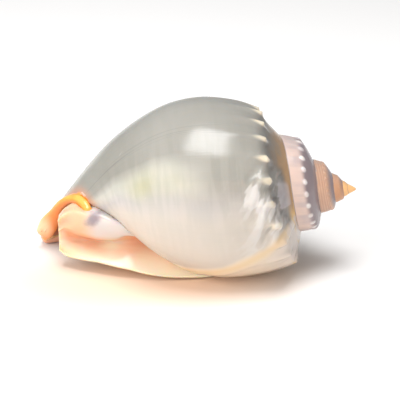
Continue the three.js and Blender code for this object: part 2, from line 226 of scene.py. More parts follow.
# The growth tree adds the sculpture to a chart and rolls it up. Its phases are in radians, the glaze's edge
# is in degrees of growth, widths and reaches are shares of the profile, and heights are in millimetres.
NODULES_PER_TURN = 23
SHOULDER = SHOULDER_POINT / (len(PROFILES[0][1]) - 1)  # place of the nodules across the whorl
BEAD_ROW = 0.2  # place of the older whorls' beads across the whorl
THREAD_SPACING = 0.036
GLAZE_START = 98.5  # growth angle where the glaze's edge would meet the suture, in degrees
GLAZE_SLOPE = 111  # how much earlier its edge would meet the front end, in degrees
SCULPTURE = {
    "Nodules in a turn": NODULES_PER_TURN,
    "Nodule phase": math.radians(7.6),
    "Nodule sharpness": 2.2,
    "Nodule height": 1.25,
    "Nodule unevenness": 1.9,
    "Smallest nodule": 0.05,
    "Nodule reach forwards": 0.055,
    "Nodule reach backwards": 0.018,
    "Bead phase": 0.063,
    "Bead height": 0.62,
    "Bead width": 0.03,
    "Thread spacing": THREAD_SPACING,
    "Thread height": 0.08,
    "Growth lines in a radian": 14,
    "Growth line waves": 1.6,
    "Growth line height": 0.07,
    "Relief at the lip": 1.55,
    "Crumple height": 3.0,
    "Glaze top": 79,
    "Glaze wobble": 5.0,
    "Glaze thickness": 0.3,
    "Glaze ridge place": 7.5,
    "Glaze ridge width": 4.2,
    "Glaze ridge height": 0.45,
    "Flake brink": 0.112,
    "Flake jaggedness": 0.06,
    "Flake height": 0.3,
    "Apex": APEX_X,
    "Axis Y": AXIS_Y,
    "Axis Z": AXIS_Z,
}
glaze = bpy.data.materials.new("shell glaze")
tree = bpy.data.node_groups.new("whorl growth", "GeometryNodeTree")
tree.interface.new_socket("Chart", in_out="INPUT", socket_type="NodeSocketGeometry")
tree.interface.new_socket("Whorl", in_out="OUTPUT", socket_type="NodeSocketGeometry")
for name, value in SCULPTURE.items():
    socket = tree.interface.new_socket(name, in_out="INPUT", socket_type="NodeSocketFloat")
    socket.default_value = value
given = tree.nodes.new("NodeGroupInput").outputs
result = tree.nodes.new("NodeGroupOutput")


def node(kind, inputs=None, **settings):
    """A node of the tree in hand, with its settings, and each named input linked or set to a value."""
    made = tree.nodes.new(kind)
    for name, value in settings.items():
        setattr(made, name, value)
    for socket, value in (inputs or {}).items():
        if isinstance(value, bpy.types.NodeSocket):
            tree.links.new(value, made.inputs[socket])
        else:
            made.inputs[socket].default_value = value
    return made


def calc(operation, *values):
    """The result of a Math node."""
    return node("ShaderNodeMath", dict(enumerate(values)), operation=operation).outputs[0]


def times(*values):
    """The product of two or more values."""
    product = values[0]
    for value in values[1:]:
        product = calc("MULTIPLY", product, value)
    return product


def rest(share):
    """What a share leaves of 1."""
    return calc("SUBTRACT", 1, share)


def ramp(value, low, high):
    """0 at low, 1 at high, smooth between."""
    made = node("ShaderNodeMapRange", {"Value": value, "From Min": low, "From Max": high},
                interpolation_type="SMOOTHSTEP")
    return made.outputs["Result"]


def bell(value, middle, width):
    """1 at the middle, and nearly 0 two widths away."""
    off = calc("DIVIDE", calc("SUBTRACT", value, middle), width)
    return calc("EXPONENT", times(off, off, -1))


def fading(distance, reach):
    """1 at no distance, less and less further away."""
    return calc("EXPONENT", calc("MULTIPLY", calc("DIVIDE", distance, reach), -1))


def noise(place, scale, detail=2.0, roughness=0.5):
    """Noise in space, from 0 to 1."""
    return node("ShaderNodeTexNoise", {"Vector": place, "Scale": scale, "Detail": detail,
                                       "Roughness": roughness}).outputs[0]


def unevenness(value, rate, detail=2.0, roughness=0.5):
    """Noise along a value, from 0 to 1, with a swell about as long as 1 / rate."""
    return node("ShaderNodeTexNoise", {"W": times(value, rate), "Scale": 1.0, "Detail": detail,
                                       "Roughness": roughness}, noise_dimensions="1D").outputs[0]


FOLD_ANGLE = 17.6  # growth in degrees in one step of the folds' noise
FOLD_SLANT = 11.1  # steps across the whorl, which slant the folds
FOLD_RATES = (1.6, 0.5)  # swells in a step over the folds and along them


def fold_noise(growth, across):
    """Noise drawn out along slanting folds."""
    turned = calc("DIVIDE", growth, FOLD_ANGLE)
    over = times(calc("MULTIPLY_ADD", across, FOLD_SLANT, turned), FOLD_RATES[0])
    along = times(calc("MULTIPLY_ADD", across, -FOLD_SLANT, turned), FOLD_RATES[1])
    return noise(node("ShaderNodeCombineXYZ", {0: over, 1: along, 2: 0.0}).outputs[0], 1.0)


def mark(name):
    """A value that the chart's points keep."""
    return node("GeometryNodeInputNamedAttribute", {"Name": name}).outputs["Attribute"]


growth = mark("growth")
across = mark("across")
place = node("ShaderNodeSeparateXYZ", {0: node("GeometryNodeInputPosition").outputs[0]})
angle, distance, radius = place.outputs

# 0 on the spire and 1 on the body whorl, and then 1 on the oldest whorls alone
young = ramp(growth, -130, -20)
old = rest(ramp(growth, -470, -330))

# A pulse for each nodule and bead, with the beads' phase on the spire
turned = calc("SUBTRACT", angle, given["Nodule phase"])
bead_phase = calc("MULTIPLY_ADD", young, times(given["Bead phase"], -1), given["Bead phase"])
turned = calc("SUBTRACT", turned, bead_phase)
wave = calc("COSINE", times(turned, given["Nodules in a turn"]))
pulse = calc("POWER", calc("MULTIPLY_ADD", wave, 0.5, 0.5), given["Nodule sharpness"])

# Nodules on the body whorl's shoulder, drawn out forwards as short folds
forwards = calc("MAXIMUM", calc("SUBTRACT", across, SHOULDER), 0)
backwards = calc("MAXIMUM", calc("SUBTRACT", SHOULDER, across), 0)
fold = times(fading(forwards, given["Nodule reach forwards"]),
             fading(backwards, given["Nodule reach backwards"]))
uneven = calc("MULTIPLY_ADD", unevenness(angle, 3.1, 1.0), given["Nodule unevenness"],
              given["Smallest nodule"])
nodules = times(pulse, fold, given["Nodule height"], young, uneven)
nodule_mark = times(fold, young, calc("POWER", pulse, 1.5))

# Crumpled folds behind and before the nodules on the near side
near_side = times(ramp(growth, 55, 80), ramp(growth, 150, 112))
crumpled = times(ramp(across, 0.34, 0.2), ramp(across, 0.02, 0.1), near_side)
crumple = times(calc("SUBTRACT", fold_noise(growth, across), 0.5), crumpled, given["Crumple height"])

# Round beads on the shoulder of the older whorls, and fine spiral threads on the oldest
bead_mark = times(pulse, bell(across, BEAD_ROW, given["Bead width"]), rest(young))
beads = times(bead_mark, given["Bead height"])
thread = calc("COSINE", calc("DIVIDE", across, calc("DIVIDE", given["Thread spacing"], math.tau)))
threads = times(thread, old, given["Thread height"])

# The parietal glaze: a thin layer that spreads from the mouth, with a ridge behind its wavy edge
grown = ramp(growth, -60, -45)
edge = calc("MINIMUM", calc("MULTIPLY_ADD", across, -GLAZE_SLOPE, GLAZE_START), given["Glaze top"])
wobble = calc("SUBTRACT", unevenness(across, 14.0), 0.5)
inside_edge = calc("MULTIPLY_ADD", wobble, given["Glaze wobble"], calc("SUBTRACT", edge, growth))
layer = times(ramp(inside_edge, -2.5, 5.0), given["Glaze thickness"])
ridge = times(bell(inside_edge, given["Glaze ridge place"], given["Glaze ridge width"]),
              given["Glaze ridge height"], ramp(across, 0.62, 0.5))
glaze_height = times(grown, ramp(across, 0.0, 0.06), calc("ADD", layer, ridge))
glazed = times(ramp(inside_edge, -2.0, 3.0), grown)

# The broken flake on the shoulder's ramp, with a jagged brink
jag = calc("SUBTRACT", unevenness(growth, 0.2, 2.0, 0.6), 0.5)
brink = calc("MULTIPLY_ADD", jag, given["Flake jaggedness"], given["Flake brink"])
flake_ends = times(ramp(growth, 94, 96), rest(ramp(growth, 112, 124)))
flake = times(ramp(calc("SUBTRACT", brink, across), 0.0, 0.006), flake_ends, given["Flake height"],
              ramp(across, 0.01, 0.05))

# Growth lines, uneven from one to the next and nearly straight across the whorl
line_place = node("ShaderNodeCombineXYZ", {0: times(angle, given["Growth lines in a radian"]),
                                           1: times(across, given["Growth line waves"]), 2: 0.0})
lines = calc("SUBTRACT", noise(line_place.outputs[0], 1.0, 3.0, 0.6), 0.5)
lines = times(lines, given["Growth line height"])

# The relief that grew with the shell, and the relief that came later at its own size
relief = calc("ADD", calc("ADD", nodules, beads), calc("ADD", threads, lines))
relief = times(relief, mark("size"), mark("skin"), given["Relief at the lip"])
later = calc("ADD", calc("ADD", glaze_height, flake), crumple)
relief = calc("ADD", relief, times(later, mark("skin")))
distance = calc("MULTIPLY_ADD", relief, mark("lean"), distance)
radius = calc("MULTIPLY_ADD", relief, mark("rise"), radius)

# Rolled up: an angle of 0 points down and a quarter turn points to the near side
x = calc("SUBTRACT", given["Apex"], distance)
y = calc("SUBTRACT", given["Axis Y"], times(radius, calc("SINE", angle)))
z = calc("SUBTRACT", given["Axis Z"], times(radius, calc("COSINE", angle)))
whorl = given["Chart"]
for name, value in (("nodule", nodule_mark), ("bead", bead_mark), ("glazed", glazed), ("broken", flake)):
    kept = node("GeometryNodeStoreNamedAttribute", {"Geometry": whorl, "Name": name},
                data_type="FLOAT", domain="POINT")
    tree.links.new(value, kept.inputs["Value"])
    whorl = kept.outputs[0]
rolled = node("ShaderNodeCombineXYZ", {0: x, 1: y, 2: z}).outputs[0]
whorl = node("GeometryNodeSetPosition", {"Geometry": whorl, "Position": rolled}).outputs[0]
whorl = node("GeometryNodeRealizeInstances", {"Geometry": whorl}).outputs[0]
whorl = node("GeometryNodeSetMaterial", {"Geometry": whorl, "Material": glaze}).outputs[0]
tree.links.new(whorl, result.inputs["Whorl"])
growth_tree = tree


def roll_up(made):
    made.modifiers.new("growth", "NODES").node_group = growth_tree
    settle(made)
    outwards(made)


WALL = 2.0
THINNEST_WALL = 0.35  # share of the wall that stays however small the whorl is
COLUMELLA_R = 4.5  # the pillar that the hollow winds round
PILLAR_LENGTH = 12  # length of its tapered front end
PILLAR_CORE = 0.3  # the hollow's inner limit in front of the pillar
NEARBY = 0.001  # step along the profile that gives its direction


def hollow_chart(name, angles, places):
    """The hollow inside a whorl, a wall's thickness in from its profile, round the columella."""
    points = []
    marks = []
    for angle in angles:
        size = size_at(angle)
        wall = WALL * min(1, THINNEST_WALL + size)
        profile = profile_at(angle)
        line = spline(profile, places)[::-1]
        ahead = spline(profile, places + NEARBY)[::-1] - spline(profile, places - NEARBY)[::-1]
        ahead /= np.linalg.norm(ahead, axis=1)[:, None]
        inner = np.stack([line[:, 0] + ahead[:, 1] * wall, line[:, 1] - ahead[:, 0] * wall], 1)
        inner[:, 1] = np.maximum(inner[:, 1], COLUMELLA_R + PILLAR_CORE)
        front = inner[0][0]
        back = [(inner[-1][0], COLUMELLA_R), (front - PILLAR_LENGTH, COLUMELLA_R),
                (front - PILLAR_LENGTH / 2, PILLAR_CORE), (front, PILLAR_CORE)]
        for d, r in [*inner, *back]:
            points.append((math.radians(angle), d, r))
            marks.append((angle, size))
    made = mesh_object(name, points, loft_faces(len(angles), len(places) + len(back)))
    marks = np.array(marks)
    keep_values(made, "growth", marks[:, 0])
    keep_values(made, "size", marks[:, 1])
    keep_values(made, "inside", np.ones(len(marks)))
    for mark in ("across", "lean", "rise", "skin"):
        keep_values(made, mark, np.zeros(len(marks)))
    return made


# The coil is joined in pieces of less than a turn, from the lip back to the apex. The hollow is cut from
# the pieces nearest the lip, and starts a little outside the mouth.
STEPS_PER_NODULE = 10
PIECE_STEPS = 80  # angle steps in a piece of the coil
COIL_PIECES = 15
FINE_PIECES = 9  # pieces from the lip back with every angle step
HOLLOW_PIECES = 2
HOLLOW_LEAD = 12  # angle steps by which the hollow starts outside the mouth
HOLLOW_START = 0.03  # the hollow's ends, as places along the profile
HOLLOW_END = 0.97
HOLLOW_COLUMNS = 30
SHOULDER_PART = 0.3  # share of the profile whose points lie closer together
SHOULDER_COLUMNS = 45
BODY_COLUMNS = 44

angle_step = 360 / NODULES_PER_TURN / STEPS_PER_NODULE
piece_angle = PIECE_STEPS * angle_step
places = np.concatenate([np.linspace(0, SHOULDER_PART, SHOULDER_COLUMNS, endpoint=False),
                         np.linspace(SHOULDER_PART, 1, BODY_COLUMNS)])
hollow_places = np.linspace(HOLLOW_START, HOLLOW_END, HOLLOW_COLUMNS)
shell = None
for i in range(COIL_PIECES):
    last = LIP_ANGLE - i * piece_angle
    first = last - piece_angle
    step = angle_step if i < FINE_PIECES else 2 * angle_step
    if i:
        last += step
    angles = np.linspace(first, last, round((last - first) / step) + 1)
    piece = chart("whorl", angles, places, i > 0)
    roll_up(piece)
    if shell is None:
        shell = piece
    else:
        cut_or_join(shell, piece, "UNION")
    if i == HOLLOW_PIECES - 1:
        last = LIP_ANGLE + HOLLOW_LEAD * angle_step
        angles = np.linspace(first, last, round((last - first) / angle_step / 2) + 1)
        hollow = hollow_chart("hollow", angles, hollow_places)
        roll_up(hollow)
        cut_or_join(shell, hollow, "DIFFERENCE")

# The apex
# A smooth first shell, 4.6 mm across and blunt at its tip, closes the coil. It is a turned shape that is
# joined to the first whorl.

APEX = [(0, 0), (0.1, 0.25), (0.4, 0.5), (1, 0.85), (2, 1.35), (3.2, 1.92), (4.3, 2.3), (5, 1.6), (5.2, 0)]
APEX_ROWS = 40
APEX_SIDES = 48
APEX_CORE = 0.01  # radius of the tip's flat end
APEX_GROWTH = -1700.0  # growth angle before the first whorl's

outline = spline(APEX, np.linspace(0, 1, APEX_ROWS))
sides = np.linspace(0, 2 * math.pi, APEX_SIDES, endpoint=False)
rows = []
for d, r in outline:
    r = max(r, APEX_CORE)
    rows += [(APEX_X - d, AXIS_Y + r * math.cos(a), AXIS_Z + r * math.sin(a)) for a in sides]
apex = mesh_object("apex", rows, loft_faces(APEX_ROWS, APEX_SIDES))
outwards(apex)
keep_values(apex, "growth", np.full(len(apex.data.vertices), APEX_GROWTH))
cut_or_join(shell, apex, "UNION")

# The bent front end
# The last 46 mm of the coil turn down towards the ground, and a little away from the near side, which
# bends the front end of all that is joined so far.

BEND_START = 52  # distance from the apex where the front end starts to turn down
BEND_LENGTH = 38  # distance over which the bend grows to its full amount
BEND_DOWN = 12
BEND_FAR = 3


def read_places(made):
    """The places of an object's points."""
    at = np.zeros(len(made.data.vertices) * 3)
    made.data.vertices.foreach_get("co", at)
    return at.reshape(-1, 3)


at = read_places(shell)
amount = np.maximum(0, (APEX_X - at[:, 0] - BEND_START) / BEND_LENGTH) ** 2
at[:, 1] += BEND_FAR * amount
at[:, 2] -= BEND_DOWN * amount
shell.data.vertices.foreach_set("co", at.ravel())

# The inner lip
# Peach and cream glaze, 51 mm long and 1.6 mm thick at its free edge. Its rib winds round the columella
# down to the canal, and the edge spreads as a thin shelf near the ground. It is lofted and joined on.

# x, and then y and z of the rib's top, crest and lower side, the hollow under it, and the free edge
INNER_LIP = [
    (-41.3, (-5, 16), (-5.4, 13.6), (-5.2, 11.5), (-4.8, 9.2), (-5.2, 6)),
    (-39.2, (-5.2, 18.6), (-7, 15.6), (-6, 12.7), (-4.6, 10), (-6, 4.6)),
    (-36, (-5.5, 20.4), (-9.2, 16.9), (-7, 11.9), (-4.6, 9.4), (-8, 4.6)),
    (-32.5, (-6.3, 20), (-10.8, 16.6), (-7.6, 10.9), (-4.8, 8.8), (-9.6, 4.6)),
    (-29, (-7.4, 20.5), (-12, 16.4), (-8.2, 10.3), (-5.2, 8.4), (-10.9, 4.6)),
    (-24, (-8.8, 19), (-13.1, 15.8), (-9.2, 10.7), (-6.4, 8.8), (-12.6, 4)),
    (-19.5, (-9.8, 16.6), (-13.2, 14.8), (-10.8, 13), (-7.6, 9.6), (-13.6, 3.4)),
    (-14, (-8, 13.6), (-9.8, 12.2), (-9.4, 10.8), (-7.4, 9.4), (-14.5, 2.3)),
    (-7, (-8.5, 10.6), (-9.6, 9.4), (-9.8, 8.4), (-9.8, 7), (-14.8, 1.5)),
    (1, (-9, 7.5), (-10, 6.4), (-10.4, 5.2), (-11, 4), (-14, 1.1)),
    (6, (-9, 5.5), (-9.6, 4.4), (-10, 3.4), (-10.6, 2.6), (-12.6, 1)),
    (9.5, (-8, 4), (-8.6, 3.2), (-9, 2.6), (-9.4, 2.1), (-10.4, 1.2)),
]
INNER_LIP_EDGE = 1.6  # thickness of the free edge
INNER_LIP_BACK = -1.2  # how far in the lip's body reaches
BACK_BULGE = 1  # how much further in it reaches at the top
BACK_RISE = 0.5  # height of its back's lower side over the free edge
RIB_ROOT = (2, 0.3)  # how far the rib's root lies in from and above its top
EDGE_ROUND = (0.3, 0.5)  # how far the free edge curves back and stands out
RIB_SHOULDER = (-1.8, 1.3)  # how far the rib bulges out and up between its top and its crest
RIB_BELLY = (-0.5, -0.3)  # how far it bulges out and down between its crest and its lower side
SHELF_RISE = (0.4, 0.5)  # how far the shelf is drawn in and up before its free edge
LIP_ROWS = 110
LIP_COLUMNS = 52  # points round a section, from the rib's root to the free edge


def long_spline(points, places):
    """As spline, with the ends drawn on straight."""
    points = np.asarray(points, float)
    longer = np.concatenate([[2 * points[0] - points[1]], points, [2 * points[-1] - points[-2]]])
    count = len(points) - 1
    return spline(longer, (1 + np.asarray(places, float) * count) / (count + 2))


def loft_object(name, rows, marks):
    """A closed body through rows of points. Marks are the values that its points keep."""
    rows = np.asarray(rows, float)
    made = mesh_object(name, rows.reshape(-1, 3), loft_faces(rows.shape[0], rows.shape[1]))
    for mark, value in marks.items():
        keep_values(made, mark, np.broadcast_to(value, rows.shape[:2]).ravel())
    outwards(made)
    return made


def halfway(a, b, moved):
    """The point between two points, moved aside."""
    return (a[0] + b[0]) / 2 + moved[0], (a[1] + b[1]) / 2 + moved[1]


stations = []
for x, top, crest, low, hollow, edge in INNER_LIP:
    stations.append([
        (x, INNER_LIP_BACK, edge[1] + BACK_RISE),
        (x, INNER_LIP_BACK - BACK_BULGE, top[1] - BACK_BULGE),
        (x, top[0] + RIB_ROOT[0], top[1] + RIB_ROOT[1]),
        (x, *top),
        (x, *halfway(top, crest, RIB_SHOULDER)),
        (x, *crest),
        (x, *halfway(crest, low, RIB_BELLY)),
        (x, *low),
        (x, *hollow),
        (x, *halfway(hollow, edge, SHELF_RISE)),
        (x, edge[0] + EDGE_ROUND[0], edge[1] + INNER_LIP_EDGE / 2),
        (x, edge[0] - EDGE_ROUND[1], edge[1]),
        (x, edge[0] + EDGE_ROUND[0], edge[1] - INNER_LIP_EDGE / 2),
    ])
stations = np.array(stations, float)
lengthwise = np.linspace(0, 1, LIP_ROWS)
lines = np.stack([long_spline(stations[:, k], lengthwise) for k in range(stations.shape[1])], 1)
around = np.concatenate([[0, 1 / 12], np.linspace(2 / 12, 1, LIP_COLUMNS)])
rows = np.stack([long_spline(row, around) for row in lines])
inner_lip = loft_object("inner lip", rows, {"callus": 1, "across": around[None, :]})
cut_or_join(shell, inner_lip, "UNION")

# The canal
# The siphon's slot, up to 20 mm high and open at the notch. It is cut up through the front end, between
# the inner lip and the far wall.

# x, y of the near side's foot and top, y of the far side's foot and top, and z of the rim and the top
CANAL = [
    (-60, -4, -5, 17, 12, 4, 34), (-47, -3.2, -3.8, 10.6, 7.6, 6, 30), (-41, -2.8, -3.4, 10, 2.6, 15, 28),
    (-36, -2.6, -3.6, 9, -2.2, 19.5, 26), (-33, -2.6, -4.8, 7.5, -4.2, 19, 22),
    (-30, -2.6, -3.6, 7, -2.6, 15, 16), (-25, -2, -2, 6, 1, 10, 11),
]
CANAL_STEP = (0.55, 0.7)  # shares of the height between which the near side steps back
CANAL_FLOOR = -6
CANAL_LOW = 3  # height up to which the far side is upright

sections = []
for x, near_low, near_top, far_low, far_top, rim, top in CANAL:
    sections.append([(x, near_low, CANAL_FLOOR), (x, far_low, CANAL_FLOOR), (x, far_low, CANAL_LOW),
                     (x, far_top, rim), (x, far_top, top), (x, near_top, top),
                     (x, near_top, CANAL_STEP[1] * top), (x, near_low, CANAL_STEP[0] * top)])
canal = loft_object("canal", sections, {"inside": 1})
cut_or_join(shell, canal, "DIFFERENCE")

# The notch's rim
# A flared ribbon of bright orange glaze, 2 to 6 mm wide, from its hooked inner end over the far wall to
# the tip. It is an oval bar along a curve, joined to the wall.

NOTCH_RIM = [(-31.4, -8.2, 18.5), (-32.2, -7.4, 19.6), (-33.5, -5.4, 21), (-35.7, -3, 21.5),
             (-38.2, -0.6, 20.3), (-41, 2.4, 17.2), (-43, 5, 13.2), (-45.6, 7.8, 8.4), (-47.8, 10.2, 3.4)]
NOTCH_WIDTHS = [2.2, 2.3, 2.4, 2.4, 2.6, 3.1, 4.2, 5.8, 5]
NOTCH_THICKNESSES = [2.6, 2.8, 3, 3, 3, 3, 2.8, 2.4, 2]
NOTCH_UP = (-0.5, -0.2, 1)  # the way its width points
BAR_END = 1.8  # length over which a bar's ends are rounded
BAR_TIP = 0.02  # area left at the very end, as a share of the bar's
FINE_PLACES = np.linspace(0, 1, 400)  # places on a path at which its length is measured


def path_lengths(path):
    """How far along a path each of its points lies."""
    return np.concatenate([[0], np.cumsum(np.linalg.norm(np.diff(path, axis=0), axis=1))])


def bar_rows(path, widths, thicknesses, up, steps, sides):
    """Rows of an oval bar along a smooth path, rounded off at both ends."""
    sizes = np.stack(np.broadcast_arrays(widths, thicknesses, np.zeros(len(path)))[:2], 1)
    fine = long_spline(np.hstack([path, sizes]), FINE_PLACES)
    lengths = path_lengths(fine[:, :3])
    even = np.linspace(0, lengths[-1], steps + 1)
    centre, sizes = np.split(np.stack([np.interp(even, lengths, column) for column in fine.T], 1), [3], 1)
    ahead = np.gradient(centre, axis=0)
    ahead /= np.linalg.norm(ahead, axis=1)[:, None]
    wide = np.array(up, float) - (ahead @ np.array(up, float))[:, None] * ahead
    wide /= np.linalg.norm(wide, axis=1)[:, None]
    thin = np.cross(ahead, wide)
    to_end = np.minimum(even, lengths[-1] - even) / BAR_END
    full = np.sqrt(np.clip(1 - (1 - np.minimum(to_end, 1)) ** 2, BAR_TIP, 1))[:, None, None]
    turn = np.linspace(0, 2 * math.pi, sides, endpoint=False)
    sizes = sizes[:, None] / 2
    return (centre[:, None] + full * sizes[..., :1] * np.cos(turn)[None, :, None] * wide[:, None]
            + full * sizes[..., 1:] * np.sin(turn)[None, :, None] * thin[:, None])


rows = bar_rows(NOTCH_RIM, NOTCH_WIDTHS, NOTCH_THICKNESSES, NOTCH_UP, steps=110, sides=28)
notch_rim = loft_object("notch rim", rows, {"rim": 1})
cut_or_join(shell, notch_rim, "UNION")

# The outer lip
# The thick cream rim that ends growth on the far side, 4.6 mm thick and rolled. It has 15 teeth inside
# and three short spines near its front end, all joined on.

LIP_RIM = [(20, 12.5, 12), (17.5, 18.5, 7.4), (12, 23.8, 3.6), (2, 27.4, 2.3), (-10, 27.4, 2.1),
           (-22, 24.4, 2.1), (-33, 19.4, 2.1), (-41, 15.2, 2.2), (-48.6, 12, 2.4)]
LIP_THICKNESSES = [3, 3.8, 4.4, 4.6, 4.6, 4.6, 4.6, 4.6, 4.4]
SPINES_ALONG = [0.74, 0.82, 0.9]  # places of the spines along the lip
SPINE_LENGTH = 4.6
SPINE_R = 1.5
SPINE_ROWS = 16
SPINE_SIDES = 24
SPINE_TAPER = 0.35  # how much a spine thins besides its rounding
SPINE_LEAN = 0.6  # how far its tip leans forwards
LIP_TEETH = 15
TEETH_ALONG = (0.18, 0.72)  # places of the first and the last tooth along the lip
TOOTH_WIDTH = 1.3
TOOTH_PATH = [(0.8, 1.2), (2.2, 1.0), (3.4, 1.5)]  # how far in and up a tooth runs
LIP_NEARBY = 0.5  # step along the lip that gives its direction
UP = np.array((0, 0, 1.0))

rows = bar_rows(LIP_RIM, LIP_THICKNESSES, LIP_THICKNESSES, UP, steps=150, sides=30)
lip_rim = loft_object("lip rim", rows, {"lip": 1})
cut_or_join(shell, lip_rim, "UNION")

lip_line = long_spline(LIP_RIM, FINE_PLACES)
lip_lengths = path_lengths(lip_line)


def on_lip(share):
    """The place and direction of the lip's middle line at a share of its length."""
    along = share * lip_lengths[-1]
    here, beyond = [np.array([np.interp(s, lip_lengths, column) for column in lip_line.T])
                    for s in (along, along + LIP_NEARBY)]
    return here, (beyond - here) / np.linalg.norm(beyond - here)


for share in SPINES_ALONG:
    here, ahead = on_lip(share)
    outward = np.cross(ahead, UP)
    turn = np.linspace(0, 2 * math.pi, SPINE_SIDES, endpoint=False)
    ring = np.cos(turn)[:, None] * ahead + np.sin(turn)[:, None] * UP
    rows = []
    for h in np.linspace(0, 1, SPINE_ROWS):
        width = SPINE_R * math.sqrt(max(1 - h, 0.001)) * (1 - SPINE_TAPER * h)
        rows.append(here + outward * SPINE_LENGTH * h + ahead * SPINE_LEAN * h**2 + ring * width)
    cut_or_join(shell, loft_object("spine", rows, {"lip": 1}), "UNION")

for share in np.linspace(*TEETH_ALONG, LIP_TEETH):
    here, ahead = on_lip(share)
    inward = np.cross(UP, ahead)
    path = [here + inward * s + UP * z for s, z in TOOTH_PATH]
    rows = bar_rows(path, TOOTH_WIDTH, TOOTH_WIDTH, ahead, steps=12, sides=12)
    cut_or_join(shell, loft_object("tooth", rows, {"lip": 1}), "UNION")

# The finished skin
# One skin of glossy carbonate, worn flat where it rests on the ground. It is set in the frame's place in
# metres, its smallest faces are cleared away, and edges sharper than 48 degrees stay crisp.

GROUND_SIZE = 200
TO_FRAME = (0.67, -0.07, 0)  # moves the middle of the shell's box to the origin
MILLIMETRE = 0.001
WORN = 0.01  # height below which a point lies on the worn flat
ORANGE_WALL = (2.0, 0.5)  # distance from the ribbon's middle where full orange ends, and its soft edge
ORANGE_HALO = (5.5, 3.5, 0.45)  # where its tint ends, over what length it fades, and how strong it is
RIBBON_POINTS = 60
DOUBLES = 0.000008  # metres between points that are made one
SMALLEST_EDGE = 0.000004
CREASE = 48

ground = bmesh.new()
bmesh.ops.create_cube(ground, size=GROUND_SIZE)
bmesh.ops.translate(ground, verts=ground.verts, vec=(0, 0, -GROUND_SIZE / 2))
below = mesh_object("ground", [], [])
ground.to_mesh(below.data)
ground.free()
cut_or_join(shell, below, "DIFFERENCE")

at = read_places(shell)
marks = {name: np.zeros(len(at), np.float32) for name in ("rim", "callus", "lip")}
for name, values in marks.items():
    shell.data.attributes[name].data.foreach_get("value", values)
ribbon = long_spline(NOTCH_RIM, np.linspace(0, 1, RIBBON_POINTS))
away = np.min(np.linalg.norm(at[:, None] - ribbon[None], axis=2), axis=1)
beside = np.clip((ORANGE_WALL[0] - away) / ORANGE_WALL[1], 0, 1)
halo = ORANGE_HALO[2] * np.clip((ORANGE_HALO[0] - away) / ORANGE_HALO[1], 0, 1)
orange = np.maximum(marks["rim"], np.maximum(beside, halo) * (marks["callus"] < 0.5))
worn = np.maximum(marks["lip"], at[:, 2] < WORN)
for name, values in (("rim", orange), ("lip", worn)):
    shell.data.attributes[name].data.foreach_set("value", values.astype(np.float32))
at = (at + TO_FRAME) * MILLIMETRE
shell.data.vertices.foreach_set("co", at.ravel())

work = bmesh.new()
work.from_mesh(shell.data)
bmesh.ops.remove_doubles(work, verts=work.verts, dist=DOUBLES)
bmesh.ops.dissolve_degenerate(work, edges=work.edges, dist=SMALLEST_EDGE)
bmesh.ops.triangulate(work, faces=[f for f in work.faces if len(f.verts) > 4])
work.to_mesh(shell.data)
work.free()
shell.data.update()
shell.name = "shell_skin"
shell.data.shade_smooth()
shell.data.set_sharp_from_angle(angle=math.radians(CREASE))
even_normals = shell.modifiers.new("even normals", "WEIGHTED_NORMAL")
even_normals.keep_sharp = True
settle(shell)

# The shell's glaze
# Porcelain-like and wet with gloss: pale grey and cream on the body whorl, tan and lavender on the spire,
# peach on the inner lip and clear orange on the notch's rim. Colours follow the growth angle in degrees
# and the place across the whorl, from 0 at the suture to 1 at the front end.

glaze.use_nodes = True
tree = glaze.node_tree
tree.nodes.clear()


def value_of(name):
    """A value that the shell's points keep."""
    return node("ShaderNodeAttribute", attribute_name=name).outputs["Fac"]


def blend(share, below, above):
    """Colour below where share is 0 and above where it is 1."""
    return node("ShaderNodeMix", {0: share, 6: below, 7: above}, data_type="RGBA").outputs[2]


def tint(share, colour, tone):
    """Colour multiplied by tone where share is 1."""
    return node("ShaderNodeMix", {0: share, 6: colour, 7: tone}, data_type="RGBA",
                blend_type="MULTIPLY").outputs[2]


def colour_line(value, stops):
    """The colour at a value on a line of (value, colour) stops."""
    low, high = stops[0][0], stops[-1][0]
    made = node("ShaderNodeValToRGB", {0: calc("DIVIDE", calc("SUBTRACT", value, low), high - low)})
    line = made.color_ramp
    while len(line.elements) < len(stops):
        line.elements.new(0.5)
    for element, (at, colour) in zip(line.elements, stops):
        element.position = (at - low) / (high - low)
    for element, (at, colour) in zip(line.elements, stops):
        element.color = colour
    return made.outputs[0]


across = value_of("across")
growth = value_of("growth")
turns = calc("DIVIDE", growth, 360.0)
chart_place = node("ShaderNodeCombineXYZ", {0: turns, 1: across, 2: 0.0}).outputs[0]
place = node("ShaderNodeTexCoord").outputs["Object"]
x_place, y_place, z_place = node("ShaderNodeSeparateXYZ", {0: place}).outputs
facing = node("ShaderNodeSeparateXYZ", {0: node("ShaderNodeNewGeometry").outputs["Normal"]}).outputs[2]


def streaky(turn_rate, across_rate, detail, roughness=0.5):
    """Noise on the chart, with its swells in one turn and across the whorl."""
    stretched = node("ShaderNodeMapping", {"Vector": chart_place, "Scale": (turn_rate, across_rate, 1)})
    return noise(stretched.outputs[0], 1.0, detail, roughness)


# Body whorl: bands of colour by growth stage, partly the shell's own grey and cream and partly a painted
# reflection of the studio: grey on top where darker surroundings reflect, a lavender band at the lower edge
# of a reflection, and pinkish cream below where the white floor reflects. Over them lie a yellow patch,
# partly its own colour and partly a painted reflection of the large left light, a painted highlight in
# bright cream, and a grey rear
PINKISH_CREAM = (0.54, 0.50, 0.45, 1)
# Painted reflection: a darker lavender band at the lower edge of a reflection on the gloss
REFLECTION_EDGE_LAVENDER = (0.46, 0.44, 0.435, 1)
CREAM = (0.50, 0.49, 0.45, 1)
GREY = (0.30, 0.294, 0.268, 1)
SOFT_CREAM = (0.38, 0.375, 0.34, 1)
